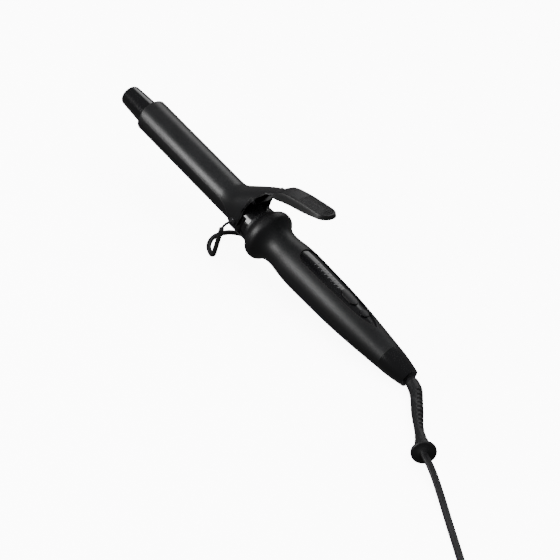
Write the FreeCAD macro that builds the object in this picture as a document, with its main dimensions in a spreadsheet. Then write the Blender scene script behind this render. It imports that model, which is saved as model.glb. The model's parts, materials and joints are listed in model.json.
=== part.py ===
import FreeCAD, Part
import math
import os
import re
import Sketcher
from FreeCAD import Placement, Rotation, Vector

# A clamp-type curling iron. The iron is drawn along X: the cool tip at -X, the cord at +X, the clamp's
# lever at +Z, x = 0 at the hand guard. It then leans back on its own stand, and the cord lies on the table.

# Driving dimensions, in millimetres and degrees. An _x is a place along the iron.
SIZES = {
    # barrel and cool tip
    "barrel_radius": 12.7,
    "barrel_wall": 0.8,
    "barrel_tip_x": -139,
    "barrel_root_x": -24,
    "ring_width": 1.2,
    "tip_end_x": -167.5,
    "tip_end_radius": 8.3,
    "tip_root_radius": 9.9,
    "tip_neck_radius": 8,
    "tip_bore_radius": 4.5,
    "tip_rounding": 3,
    # heater inside the barrel
    "heater_front_x": -128,
    "heater_length": 76,
    "block_radius": 11.5,
    "plate_width": 12,
    "plate_thick": 2.2,
    "electrode_thick": 0.5,
    "wrap_thick": 0.7,
    "plate_length": 20,
    "plate_pitch": 22,
    "block_groove_half": 6,
    "block_groove_z": 5.5,
    "sensor_x": -88,
    "sensor_z": 7,
    "sensor_radius": 1.2,
    "sensor_length": 9,
    "fuse_x": -68,
    "fuse_z": 8,
    "fuse_radius": 2,
    "fuse_length": 12,
    "heater_lead_radius": 0.9,
    "heater_lead_length": 46,
    "heater_lead_pitch": 2.6,
    # collar between barrel and hand guard, and the core through it
    "collar_radius": 15,
    "collar_front_x": -25.4,
    "collar_rear_x": -7.5,
    "collar_flat": 12.6,
    "collar_flat_rear_x": -11.5,
    "tenon_gap": 2.9,
    "tenon_length": 6,
    "core_radius": 10.2,
    "core_front_x": -44,
    "core_rear_x": -3,
    "lead_bore": 5.5,
    "spring_thick": 0.5,
    "spring_width": 7,
    # clamp: spoon, hood, ears and lever
    "clamp_gap": 0.4,
    "clamp_sheet": 1,
    "clamp_half_angle": 72,
    "clamp_front_x": -139.8,
    "hood_front_x": -36,
    "hood_rear_x": -17.5,
    "hood_rear_height": 30.5,
    "pivot_x": -21,
    "pivot_z": -1.5,
    "bush_head_thick": 1.4,
    "bush_head_rounding": 0.9,
    "ear_inner": 13.6,
    "ear_sheet": 1.2,
    "ear_radius": 5.2,
    "bush_radius": 2,
    "bush_head_radius": 3,
    "lever_width": 15,
    "lever_sheet": 2,
    "pad_width": 19,
    "pad_front_x": 1,
    "pad_front_z": 36.2,
    "pad_end_x": 49.5,
    "pad_end_z": 55.2,
    "pad_thick": 6.4,
    "pad_below_lever": 1.4,
    # stand
    "wire_radius": 1,
    "sleeve_radius": 1.9,
    "stand_half_span": 24.5,
    "stand_half_foot": 22,
    "stand_drop": 33.8,
    "arch_depth": 19,
    # handle
    "guard_front_x": -7.5,
    "guard_front_radius": 15.4,
    "guard_x": 3,
    "guard_radius": 20.4,
    "neck_x": 18,
    "neck_radius": 13.8,
    "fore_x": 30,
    "fore_radius": 14.8,
    "palm_x": 56,
    "palm_radius": 15.4,
    "back_x": 84,
    "back_radius": 14.8,
    "heel_x": 110,
    "heel_radius": 13.1,
    "seam_x": 136.5,
    "seam_radius": 10.65,
    "grip_wall": 2.2,
    "cap_bore_radius": 7.4,
    "cap_mid_x": 150,
    "cap_mid_radius": 9,
    "cap_end_x": 158.5,
    "cap_end_radius": 7.4,
    "cap_wall": 1.6,
    # control panel, its buttons and the circuit board
    "panel_front_x": 36.5,
    "panel_shoulder_x": 46,
    "panel_end_x": 118,
    "panel_half_width": 8.2,
    "panel_sink": 0.9,
    "panel_thick": 1.2,
    "rocker_x": 87.5,
    "rocker_length": 15,
    "rocker_width": 7,
    "power_x": 104,
    "power_radius": 3.3,
    "button_gap": 0.25,
    "board_front_x": 32,
    "board_length": 80,
    "board_width": 14.4,
    "board_z": 3.5,
    "board_thick": 1.6,
    "switch_side": 4.5,
    "switch_height": 2.6,
    "light_pitch": 6,
    "light_radius": 1.2,
    # inner frame of the handle
    "frame_radius": 8.2,
    "frame_wall": 1.2,
    "frame_front_x": 4,
    "frame_rear_x": 133,
    # cord swivel and mains lead
    "ball_x": 155.5,
    "ball_radius": 6.2,
    "stem_radius": 3,
    "stem_flange_radius": 7,
    "stem_flange_thick": 2.5,
    "ring_radius": 4.6,
    "slip_ring_width": 1,
    "slip_ring_pitch": 1.6,
    "brush_length": 6,
    "brush_width": 1.4,
    "brush_thick": 0.45,
    "brush_gap": 0.5,
    "neck_radius_out": 3.4,
    "relief_radius": 4.5,
    "relief_flare_length": 6,
    "relief_flare_radius": 7.4,
    "relief_disc_radius": 8.9,
    "relief_disc_thick": 2.2,
    "cord_radius": 2.7,
    "cord_thick": 3.2,
    "coil_mid_radius": 31,
    "coil_layers": 4,
    "coil_slack": 0.4,
    "tie_width": 7,
    "tie_thick": 0.8,
    "tie_heading": 60,
    "plug_length": 36,
    "plug_width": 26,
    "plug_thick": 13.6,
    "plug_nose_half_width": 5,
    "plug_waist_x": 9,
    "plug_waist_half_width": 7.5,
    "plug_shoulder_x": 19,
    "plug_rounding": 2.2,
    "plug_sleeve_length": 12,
    "plug_sleeve_radius": 4.9,
    "plug_entry_radius": 3.3,
    "plug_pin_radius": 2,
    "plug_pin_root": 6,
    "plug_pin_rounding": 0.9,
    "plug_cover_thick": 0.5,
    "plug_pin_length": 19,
    "plug_pin_cover": 9,
    "plug_pin_pitch": 18.6,
}

HOOD_SQUARENESS = 2.3   # exponent of the hood's arch: 2 is an ellipse, more is squarer
X_AXIS, Y_AXIS, Z_AXIS = Vector(1, 0, 0), Vector(0, 1, 0), Vector(0, 0, 1)

doc = FreeCAD.newDocument("curling_iron")
sheet = doc.addObject("Spreadsheet::Sheet", "sizes")
for row, (alias, number) in enumerate(SIZES.items(), start=1):
    sheet.set(f"A{row}", alias)
    sheet.set(f"B{row}", str(number))
    sheet.setAlias(f"B{row}", alias)
doc.recompute()

nodes = []   # every finished sub-part of the iron, with its place in the iron's own frame
lying = []   # sub-parts that are already in the finished part's frame


# --- sizes and small helpers ---------------------------------------------------------------------

def size(alias):
    return float(sheet.get(alias))


def value(formula):
    """The number that a formula of sheet names and numbers comes to: + - * / and no brackets."""
    total = 0.0
    for term in re.findall(r"[+-]?[^+-]+", str(formula).replace(" ", "")):
        product = -1.0 if term.startswith("-") else 1.0
        for sign, factor in re.findall(r"([*/]?)([\w.]+)", term.lstrip("+-")):
            number = size(factor) if factor[0].isalpha() else float(factor)
            product = product / number if sign == "/" else product * number
        total += product
    return total


def bound(formula):
    """The same formula, written for an expression that reads the sheet."""
    return re.sub(r"[a-z][a-z_]*", lambda name: "sizes." + name.group(), str(formula))


def keep(item, label, local=None):
    """Record a finished sub-part. Its label names its file."""
    item.Label = label
    nodes.append((item, local or Placement()))
    return item


def feature(label, shape):
    """A sub-part whose shape is worked out below from the sheet's sizes."""
    item = doc.addObject("Part::Feature", label)
    item.Shape = shape
    return keep(item, label)


def lying_feature(label, shape):
    """A sub-part that is already in the finished part's frame."""
    item = doc.addObject("Part::Feature", label)
    item.Shape = shape
    item.Label = label
    lying.append(item)


def block(name, corner, lengths):
    """A box from its lowest corner. Corner and lengths are formulas."""
    item = doc.addObject("Part::Box", name)
    for side, formula in zip(("Length", "Width", "Height"), lengths):
        item.setExpression(side, bound(formula))
    item.Placement = Placement(Vector(*[value(formula) for formula in corner]), Rotation())
    return item


def rod(name, start, radius, length, direction=X_AXIS):
    """A cylinder from the middle of its first end. Start, radius and length are formulas."""
    item = doc.addObject("Part::Cylinder", name)
    item.setExpression("Radius", bound(radius))
    item.setExpression("Height", bound(length))
    place = Vector(*[value(formula) for formula in start])
    item.Placement = Placement(place, Rotation(Z_AXIS, direction))
    return item


def cut(name, base, *tools):
    """The base with every tool taken away."""
    for index, tool in enumerate(tools):
        item = doc.addObject("Part::Cut", f"{name}_{index}")
        item.Base = base
        item.Tool = tool
        base = item
    return base


def joined(name, *items):
    item = doc.addObject("Part::MultiFuse", name)
    item.Shapes = list(items)
    return item


def group(name, *items):
    """Separate solids that share one node."""
    item = doc.addObject("Part::Compound", name)
    item.Links = list(items)
    return item


def turned(label, outline, rounded_at=(), rounding=None):
    """A body turned about the iron's axis from a closed outline of (x, radius) formulas."""
    body = doc.addObject("PartDesign::Body", label + "_body")
    sketch = body.newObject("Sketcher::SketchObject", label + "_outline")
    planes = {plane.Role: plane for plane in body.Origin.OriginFeatures}
    sketch.AttachmentSupport = (planes["XZ_Plane"], [""])
    sketch.MapMode = "FlatFace"
    corners = [Vector(value(x), value(radius), 0) for x, radius in outline]
    count = len(corners)
    for index, corner in enumerate(corners):
        sketch.addGeometry(Part.LineSegment(corner, corners[(index + 1) % count]), False)
    for index in range(count):
        sketch.addConstraint(Sketcher.Constraint("Coincident", index, 2, (index + 1) % count, 1))
    for index, corner in enumerate(outline):
        for kind, formula in zip(("DistanceX", "DistanceY"), corner):
            number = sketch.addConstraint(Sketcher.Constraint(kind, -1, 1, index, 1, value(formula)))
            sketch.setExpression(f"Constraints[{number}]", bound(formula))
    turn = body.newObject("PartDesign::Revolution", label + "_turned")
    turn.Profile = sketch
    turn.ReferenceAxis = (sketch, ["H_Axis"])
    turn.Angle = 360
    doc.recompute()
    if rounded_at:
        circles = [(value(x), value(radius)) for x, radius in rounded_at]
        fillet = body.newObject("PartDesign::Fillet", label + "_rounded")
        fillet.Base = (turn, circle_edges(turn.Shape, circles))
        fillet.setExpression("Radius", bound(rounding))
    return keep(body, label)


def circle_edges(shape, circles):
    """Names of the edges of a turned shape that are the circles at these (x, radius)."""
    names = []
    for index, edge in enumerate(shape.Edges, start=1):
        if not isinstance(edge.Curve, Part.Circle):
            continue
        for x, radius in circles:
            if abs(edge.Curve.Center.x - x) < 0.01 and abs(edge.Curve.Radius - radius) < 0.01:
                names.append(f"Edge{index}")
    return names


def smooth_turned(stations, inset=0.0):
    """A solid turned about the iron's axis, its side a smooth curve through (x, radius) stations."""
    side = Part.BSplineCurve()
    side.interpolate([Vector(x, 0, radius - inset) for x, radius in stations])
    front = Vector(stations[0][0], 0, 0)
    rear = Vector(stations[-1][0], 0, 0)
    edges = [
        Part.makeLine(front, side.StartPoint),
        side.toShape(),
        Part.makeLine(side.EndPoint, rear),
        Part.makeLine(rear, front),
    ]
    return Part.Face(Part.Wire(edges)).revolve(Vector(), X_AXIS, 360)


def cylinder_x(radius, first_x, last_x):
    return Part.makeCylinder(radius, last_x - first_x, Vector(first_x, 0, 0), X_AXIS)


def route_wire(points):
    """Straight runs joined by tangent arcs, and the arcs' radii. Each arc takes 0.45 of its shorter run."""
    edges, radii, start = [], [], points[0]
    for before, corner, after in zip(points, points[1:], points[2:]):
        back, ahead = before - corner, after - corner
        reach = 0.45 * min(back.Length, ahead.Length)
        turn = math.pi - back.getAngle(ahead)
        first = corner + Vector(back).normalize() * reach
        last = corner + Vector(ahead).normalize() * reach
        radius = reach / math.tan(turn / 2)
        inward = (first + last) * 0.5 - corner
        to_middle = radius / math.cos(turn / 2) - radius
        middle = corner + inward.normalize() * to_middle
        edges.append(Part.LineSegment(start, first).toShape())
        edges.append(Part.Arc(first, middle, last).toShape())
        radii.append(radius)
        start = last
    edges.append(Part.LineSegment(start, points[-1]).toShape())
    return Part.Wire(edges), radii


def tube(points, radius):
    """A round tube along a route."""
    wire, radii = route_wire(points)
    ring = Part.Wire(Part.makeCircle(radius, points[0], points[1] - points[0]))
    solid = wire.makePipeShell([ring], True, False)
    return solid, wire, radii


# --- barrel and cool tip -------------------------------------------------------------------------

def make_barrel():
    bore = "barrel_radius - barrel_wall"
    turned("barrel_tube", [
        ("barrel_tip_x", "barrel_radius"), ("barrel_root_x", "barrel_radius"),
        ("barrel_root_x", bore), ("barrel_tip_x", bore),
    ])
    turned("tip_ring", [
        ("barrel_tip_x - ring_width", "tip_neck_radius"), ("barrel_tip_x - ring_width", "barrel_radius"),
        ("barrel_tip_x", "barrel_radius"), ("barrel_tip_x", "tip_neck_radius"),
    ], [("barrel_tip_x - ring_width", "barrel_radius")], "0.8 * ring_width")
    turned("tip_anchor", [
        ("barrel_tip_x + 2", "tip_neck_radius"), ("barrel_tip_x + 2", bore),
        ("barrel_tip_x + 7", bore), ("barrel_tip_x + 7", "tip_neck_radius"),
    ])
    turned("cool_tip", [
        ("tip_end_x", "0"), ("tip_end_x", "tip_end_radius"),
        ("barrel_tip_x - ring_width", "tip_root_radius"), ("barrel_tip_x - ring_width", "tip_neck_radius"),
        ("barrel_tip_x + 8", "tip_neck_radius"), ("barrel_tip_x + 8", "tip_bore_radius"),
        ("tip_end_x + 6", "tip_bore_radius"), ("tip_end_x + 6", "0"),
    ], [("tip_end_x", "tip_end_radius")], "tip_rounding")


def make_heater():
    """Two aluminium half-round blocks press ceramic plates between electrodes, inside the barrel."""
    half_stack = "0.5 * plate_thick + electrode_thick + wrap_thick"
    for side, label in ((1, "heater_block_upper"), (-1, "heater_block_lower")):
        round_bar = rod(label + "_bar", ("heater_front_x", "0", "0"), "block_radius", "heater_length")
        flat = block(label + "_flat", ("heater_front_x - 1", "-block_radius - 1", f"{half_stack} + 0.05"),
                     ("heater_length + 2", "2 * block_radius + 2", "block_radius"))
        groove = block(label + "_groove", ("heater_front_x - 1", "-block_groove_half", "block_groove_z"),
                       ("heater_length + 2", "2 * block_groove_half", "block_radius"))
        solid = doc.addObject("Part::Common", label + "_half")
        solid.Base = round_bar
        solid.Tool = flat
        turn = Placement(Vector(), Rotation(X_AXIS, 0 if side > 0 else 180))
        keep(cut(label, solid, groove), label, turn)
    plates = []
    for index in range(3):
        corner = (f"heater_front_x + 6 + {index} * plate_pitch", "-0.5 * plate_width", "-0.5 * plate_thick")
        plates.append(block(f"ceramic_plate_{index}", corner, ("plate_length", "plate_width", "plate_thick")))
    keep(group("heater_plates", *plates), "heater_plates")
    for side, label in ((1, "electrode_upper"), (-1, "electrode_lower")):
        low = "0.5 * plate_thick" if side > 0 else "-0.5 * plate_thick - electrode_thick"
        strip = block(label, ("heater_front_x + 4", "-0.5 * plate_width", low),
                      ("heater_length + 4", "plate_width", "electrode_thick"))
        keep(strip, label, strip.Placement)
    outside = block("wrap_outside", ("heater_front_x + 2", "-0.5 * plate_width - wrap_thick",
                                     "-0.5 * plate_thick - electrode_thick - wrap_thick"),
                    ("heater_length", "plate_width + 2 * wrap_thick",
                     "plate_thick + 2 * electrode_thick + 2 * wrap_thick"))
    inside = block("wrap_inside", ("heater_front_x", "-0.5 * plate_width - 0.05",
                                   "-0.5 * plate_thick - electrode_thick - 0.05"),
                   ("heater_length + 9", "plate_width + 0.1", "plate_thick + 2 * electrode_thick + 0.1"))
    keep(cut("heater_wrap", outside, inside), "heater_wrap")
    sensor = rod("temperature_sensor", ("sensor_x", "0", "sensor_z"), "sensor_radius", "sensor_length")
    keep(sensor, "temperature_sensor", sensor.Placement)
    fuse = rod("thermal_fuse", ("fuse_x", "0", "fuse_z"), "fuse_radius", "fuse_length")
    keep(fuse, "thermal_fuse", fuse.Placement)
    leads = [rod(f"lead_{index}", ("heater_front_x + heater_length + 9", f"{step} * heater_lead_pitch", "-3.4"),
                 "heater_lead_radius", "heater_lead_length") for index, step in enumerate((-1, 0, 1))]
    keep(group("heater_leads", *leads), "heater_leads")


# --- collar, core and pivot bushes ---------------------------------------------------------------

def make_collar():
    turned("barrel_core", [
        ("core_front_x", "lead_bore"), ("core_front_x", "barrel_radius - barrel_wall"),
        ("barrel_root_x", "barrel_radius - barrel_wall"), ("barrel_root_x", "core_radius"),
        ("core_rear_x", "core_radius"), ("core_rear_x", "lead_bore"),
    ])
    ring = rod("collar_ring", ("collar_front_x", "0", "0"), "collar_radius", "collar_rear_x - collar_front_x")
    tenon = rod("collar_tenon", ("collar_rear_x", "0", "0"), "guard_front_radius - tenon_gap", "tenon_length")
    bore = rod("collar_bore", ("collar_front_x - 1", "0", "0"), "core_radius", "40")
    seat = rod("collar_seat", ("collar_front_x - 1", "0", "0"), "barrel_radius",
               "barrel_root_x - collar_front_x + 1")
    flats = [
        block(f"collar_flat_{name}", ("collar_front_x - 1", low, "-collar_radius"),
              ("collar_flat_rear_x - collar_front_x + 1", "5", "2 * collar_radius"))
        for name, low in (("near", "-collar_flat - 5"), ("far", "collar_flat"))
    ]
    bush_hole = rod("bush_hole", ("pivot_x", "-20", "pivot_z"), "bush_radius", "40", Y_AXIS)
    spring_foot = block("spring_foot", ("collar_front_x + 1.5", "-4.5", "collar_radius - 1.5"),
                        ("9.6", "9", "4"))
    screw_hole = rod("screw_hole", ("collar_front_x + 4", "0", "0"), "1", "collar_radius", Z_AXIS)
    keep(cut("collar", joined("collar_solid", ring, tenon), bore, seat, *flats, bush_hole, spring_foot,
             screw_hole), "collar")
    for side, label in ((-1, "pivot_bush_near"), (1, "pivot_bush_far")):
        outward = Vector(0, side, 0)
        centre = Vector(size("pivot_x"), 0, size("pivot_z"))
        shank_start = value("core_radius") * 1.03
        head_start = value("ear_inner + ear_sheet + 0.15")
        shank = Part.makeCylinder(size("bush_radius"), head_start - shank_start,
                                  centre + outward * shank_start, outward)
        head = Part.makeCylinder(size("bush_head_radius"), size("bush_head_thick"),
                                 centre + outward * head_start, outward)
        head = head.makeFillet(size("bush_head_rounding"), [outer_rim(head)])
        hole = Part.makeCylinder(size("wire_radius") + 0.08, 30, centre, outward)
        feature(label, shank.fuse(head).cut(hole))
    screw_head = rod("spring_screw_head", ("collar_front_x + 4", "0", "collar_radius - 0.9"),
                     "1.9", "1.1", Z_AXIS)
    screw_shank = rod("spring_screw_shank", ("collar_front_x + 4", "0", "core_radius + 0.3"),
                      "1", "collar_radius - core_radius - 1.1", Z_AXIS)
    keep(joined("spring_screw_solid", screw_head, screw_shank), "spring_screw")


def outer_rim(head):
    """The rim circle of a bush's head that is farthest from the middle."""
    return max(head.Edges, key=lambda edge: abs(edge.BoundBox.Center.y))


def make_clamp_spring():
    """A leaf from the collar's top up to the lever's underside."""
    front = value("collar_front_x + 2")
    foot = value("collar_radius - 1.2")
    thick, width = size("spring_thick"), size("spring_width")
    bends = [(0, 0), (7, 0), (13, 9), (16.5, 18)]
    wire, _ = route_wire([Vector(front + ahead, 0, foot + rise) for ahead, rise in bends])
    start = Part.makePlane(thick, width, Vector(front, width / 2, foot - thick / 2), X_AXIS, Z_AXIS)
    leaf = wire.makePipeShell([Part.Wire(start.Edges)], True, False)
    hole = Part.makeCylinder(1.1, 4, Vector(value("collar_front_x + 4"), 0, foot - 2), Z_AXIS)
    feature("clamp_spring", leaf.cut(hole))


# --- clamp ---------------------------------------------------------------------------------------

def arch_points(half_width, crown, low_angle, count=9):
    """Points of a squared arch from its near foot over the crown to its far foot, as (y, z)."""
    power = 2 / HOOD_SQUARENESS
    points = []
    for step in range(count):
        angle = math.radians(low_angle + (180 - 2 * low_angle) * step / (count - 1))
        across = math.copysign(abs(math.cos(angle)) ** power, math.cos(angle))
        points.append((-half_width * across, crown * abs(math.sin(angle)) ** power))
    return points


def hood_section(x, half_width, crown, low_angle):
    """One closed section of the hood's sheet, in the plane at x."""
    sheet_thick = size("ear_sheet")
    outer = [Vector(x, y, z) for y, z in arch_points(half_width, crown, low_angle)]
    inside = arch_points(half_width - sheet_thick, crown - sheet_thick, low_angle)
    inner = [Vector(x, y, z) for y, z in inside]
    curves = []
    for points in (outer, inner):
        curve = Part.BSplineCurve()
        curve.interpolate(points)
        curves.append(curve.toShape())
    ends = [Part.makeLine(outer[-1], inner[-1]), Part.makeLine(inner[0], outer[0])]
    return Part.Wire([curves[0], ends[0], curves[1], ends[1]])


def make_spoon():
    """Curved sheet lying on the barrel."""
    inner = size("barrel_radius") + size("clamp_gap")
    outer = inner + size("clamp_sheet")
    front, rear = size("clamp_front_x"), size("hood_front_x") + 1
    ring = cylinder_x(outer, front, rear).cut(cylinder_x(inner, front, rear))
    half_angle = math.radians(size("clamp_half_angle"))
    reach = 3 * outer
    side = Vector(0, reach * math.sin(half_angle), reach * math.cos(half_angle))
    wedge = Part.makePolygon([Vector(), side, Vector(0, side.y, 2 * outer), Vector(0, -side.y, 2 * outer),
                              Vector(0, -side.y, side.z), Vector()])
    wedge = Part.Face(wedge)
    wedge.translate(Vector(front, 0, 0))
    return ring.common(wedge.extrude(Vector(rear - front, 0, 0)))


def lever_underside():
    """Stations (x, z) of the lever strip's underside, from inside the hood to its end."""
    return [(-20, 26.4), (-11, 31.2), (-4, 35), (3.7, 39.3), (16.8, 44.6), (28.8, 48.8), (43, 53.4)]


def strip(stations, thickness, half_width, end_x):
    """A bent strip of even width with a round end, its underside through the stations."""
    low = Part.BSplineCurve()
    low.interpolate([Vector(x, 0, z) for x, z in stations])
    high = Part.BSplineCurve()
    high.interpolate([Vector(x, 0, z + thickness) for x, z in stations])
    edges = [low.toShape(), Part.makeLine(low.EndPoint, high.EndPoint), high.toShape(),
             Part.makeLine(high.StartPoint, low.StartPoint)]
    side = Part.Face(Part.Wire(edges))
    side.translate(Vector(0, -half_width, 0))
    solid = side.extrude(Vector(0, 2 * half_width, 0))
    start_x = stations[0][0] - 1
    straight = Part.makeBox(end_x - half_width - start_x, 2 * half_width, 100,
                            Vector(start_x, -half_width, 0))
    round_end = Part.makeCylinder(half_width, 100, Vector(end_x - half_width, 0, 0))
    return solid.common(straight.fuse(round_end))


# The hood from the spoon to its rear rim: x, half width, crown height, and the angle its feet stand at.
HOOD_SECTIONS = [
    ("hood_front_x", "14.3", "14.3", 17),
    ("hood_front_x + 3", "14.4", "15.8", 12),
    ("hood_front_x + 6", "14.5", "19", 8),
    ("pivot_x - 4", "ear_inner + ear_sheet", "24.6", 0),
    ("hood_rear_x", "ear_inner + ear_sheet", "hood_rear_height", 0),
]


def make_clamp():
    """Spoon, hood, ears and lever as one sheet, and the thumb pad moulded round the lever."""
    sections = [hood_section(value(x), value(half_width), value(crown), low_angle)
                for x, half_width, crown, low_angle in HOOD_SECTIONS]
    hood = Part.makeLoft(sections, True, True)
    ears = []
    for low in (-value("ear_inner + ear_sheet"), size("ear_inner")):
        round_end = Part.makeCylinder(size("ear_radius"), size("ear_sheet"),
                                      Vector(size("pivot_x"), low, size("pivot_z")), Y_AXIS)
        upright = Part.makeBox(value("hood_rear_x - pivot_x + 4"), size("ear_sheet"), 5.5,
                               Vector(value("pivot_x - 4"), low, size("pivot_z")))
        ears.append(round_end.fuse(upright))
    lever = strip(lever_underside(), size("lever_sheet"), size("lever_width") / 2, size("pad_end_x") - 2)
    body = make_spoon().fuse([hood, lever] + ears)
    hole_start = Vector(size("pivot_x"), -30, size("pivot_z"))
    hole = Part.makeCylinder(size("bush_radius") + 0.06, 60, hole_start, Y_AXIS)
    feature("clamp", body.cut(hole).removeSplitter())
    below = size("pad_below_lever")
    pad_low = [(size("pad_front_x"), size("pad_front_z"))]
    pad_low += [(x, z - below) for x, z in lever_underside()
                if size("pad_front_x") < x < size("pad_end_x") - 10]
    pad_low.append((value("pad_end_x + 2.5"), size("pad_end_z")))
    pad = strip(pad_low, size("pad_thick"), size("pad_width") / 2, size("pad_end_x"))
    feature("lever_pad", pad.cut(lever))


# --- stand ---------------------------------------------------------------------------------------

def make_stand():
    """Bent wire hinged in the pivot bushes, with a soft sleeve over its legs and arch."""
    pivot_x, pivot_z = size("pivot_x"), size("pivot_z")
    span, foot, depth = size("stand_half_span"), size("stand_half_foot"), size("arch_depth")
    foot_z = pivot_z - size("stand_drop")

    def arch(angle):
        turn = math.radians(angle)
        return Vector(pivot_x - depth * math.sin(turn), -foot * math.cos(turn), foot_z)

    leg_top = Vector(pivot_x, -span, pivot_z)
    near_end = [Vector(pivot_x, -value("core_radius + 1"), pivot_z), leg_top]
    across = [arch(angle) for angle in (0, 35, 70, 110, 145, 180)]
    far_end = [Vector(point.x, -point.y, point.z) for point in reversed(near_end)]
    wire, _, _ = tube(near_end + across + far_end, size("wire_radius"))
    feature("stand_wire", wire)
    leg_start = leg_top + (across[0] - leg_top) * 0.12
    mirrored_start = Vector(leg_start.x, -leg_start.y, leg_start.z)
    sleeve, _, _ = tube([leg_start] + across + [mirrored_start], size("sleeve_radius"))
    feature("stand_sleeve", sleeve.cut(wire))


# --- handle --------------------------------------------------------------------------------------

# The hand guard's curve: how far behind the guard's widest place, and the share of its radius there.
GUARD_CURVE = [(-7.3, 0.785), (-4.9, 0.92), (-2.6, 0.985), (0, 1), (2.6, 0.98), (5.4, 0.87), (9, 0.745)]


def grip_stations():
    """(x, radius) stations of the handle's side: the hand guard, the neck, the palm swell and the heel."""
    guard_x, guard_radius = size("guard_x"), size("guard_radius")
    guard = [(guard_x + behind, share * guard_radius) for behind, share in GUARD_CURVE]
    named = [(size(place + "_x"), size(place + "_radius"))
             for place in ("neck", "fore", "palm", "back", "heel", "seam")]
    return [(size("guard_front_x"), size("guard_front_radius"))] + guard + named


def panel_prism(shrink):
    """Upright prism of the panel's outline: a round front and sides that meet at the rear."""
    half = size("panel_half_width") - shrink
    front, shoulder = size("panel_front_x") + shrink, size("panel_shoulder_x")
    rear = size("panel_end_x") - 2 * shrink
    edges = [Part.Arc(Vector(shoulder, -half, 0), Vector(front, 0, 0), Vector(shoulder, half, 0)).toShape()]
    for side in (1, -1):
        taper = [(0, 1), (0.35, 0.93), (0.62, 0.8), (0.82, 0.6), (1, 0)]
        edge = Part.BSplineCurve()
        edge.interpolate([Vector(shoulder + along * (rear - shoulder), side * share * half, 0)
                          for along, share in taper])
        edges.append(edge.toShape())
    return Part.Face(Part.Wire(Part.sortEdges(edges)[0])).extrude(Vector(0, 0, 30))


def button_prism(gap):
    """Upright prisms of the rocker and the power button, grown by a gap for their openings."""
    half_length = size("rocker_length") / 2 - size("rocker_width") / 2
    radius = size("rocker_width") / 2 + gap
    rocker_x = size("rocker_x")
    middle = Part.makeBox(2 * half_length, 2 * radius, 30, Vector(rocker_x - half_length, -radius, 0))
    ends = [Part.makeCylinder(radius, 30, Vector(rocker_x + side * half_length, 0, 0)) for side in (-1, 1)]
    power = Part.makeCylinder(size("power_radius") + gap, 30, Vector(size("power_x"), 0, 0))
    return middle.fuse(ends), power


def make_handle():
    outline = grip_stations()
    outside = smooth_turned(outline)
    inside = smooth_turned(outline, size("grip_wall"))
    front_bore = cylinder_x(value("guard_front_radius - tenon_gap"), value("guard_front_x - 1"), 2)
    window = panel_prism(0)
    feature("handle_grip", outside.cut(inside.fuse(front_bore)).cut(window))
    sink, thick = size("panel_sink"), size("panel_thick")
    skin = smooth_turned(outline, sink).cut(smooth_turned(outline, sink + thick))
    rocker_hole, power_hole = button_prism(size("button_gap"))
    feature("control_panel", skin.common(panel_prism(0.1)).cut(rocker_hole.fuse(power_hole)))
    stand_proud = smooth_turned(outline, -0.2)
    floor_z = value("board_z + board_thick + 4.2")
    under = Part.makeBox(200, 60, floor_z + 10, Vector(0, -30, -10))
    rocker, power = button_prism(0)
    feature("temp_rocker", stand_proud.common(rocker).cut(under))
    feature("power_button", stand_proud.common(power).cut(under))


def make_cap():
    """The handle's rear end: a tapered cap with a spigot into the grip and a seat for the swivel's ball."""
    outline = [(size("seam_x"), size("seam_radius")), (value("seam_x + 6.5"), value("seam_radius - 0.6")),
               (size("cap_mid_x"), size("cap_mid_radius")),
               (value("cap_end_x - 3.7"), value("cap_end_radius + 0.7")),
               (size("cap_end_x"), size("cap_end_radius"))]
    outside = smooth_turned(outline)
    spigot = cylinder_x(value("seam_radius - grip_wall"), value("seam_x - 3"), value("seam_x + 1"))
    cavity = cylinder_x(size("cap_bore_radius"), value("seam_x - 4"), value("ball_x - 3"))
    ball_seat = Part.makeSphere(size("ball_radius") + 0.3, Vector(size("ball_x"), 0, 0))
    mouth = cylinder_x(value("ball_radius - 0.55"), size("ball_x"), value("cap_end_x + 1"))
    feature("end_cap", outside.fuse(spigot).cut(cavity.fuse([ball_seat, mouth])))


# --- inside the handle ---------------------------------------------------------------------------

def make_inner_frame():
    length = "frame_rear_x - frame_front_x"
    for side, label in ((-1, "frame_lower"), (1, "frame_upper")):
        pipe = rod(label + "_pipe", ("frame_front_x", "0", "0"), "frame_radius", length)
        bore = rod(label + "_bore", ("frame_front_x - 1", "0", "0"), "frame_radius - frame_wall",
                   length + " + 2")
        other_half = block(label + "_other", ("frame_front_x - 1", "-10", "-20" if side > 0 else "0"),
                           (length + " + 2", "20", "20"))
        tools = [bore, other_half]
        if side > 0:
            tools.append(block("frame_window", ("board_front_x - 3", "-10", "board_z"),
                               ("board_length + 6", "20", "20")))
        keep(cut(label, pipe, *tools), label)
    screws = []
    for index, x in enumerate((10, 24, 118, 128)):
        screws.append(rod(f"frame_screw_{index}", (str(x), "0", "-frame_radius + frame_wall + 0.05"), "1.1",
                          "2 * frame_radius - 2 * frame_wall - 0.1", Z_AXIS))
    keep(group("frame_screws", *screws), "frame_screws")


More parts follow.
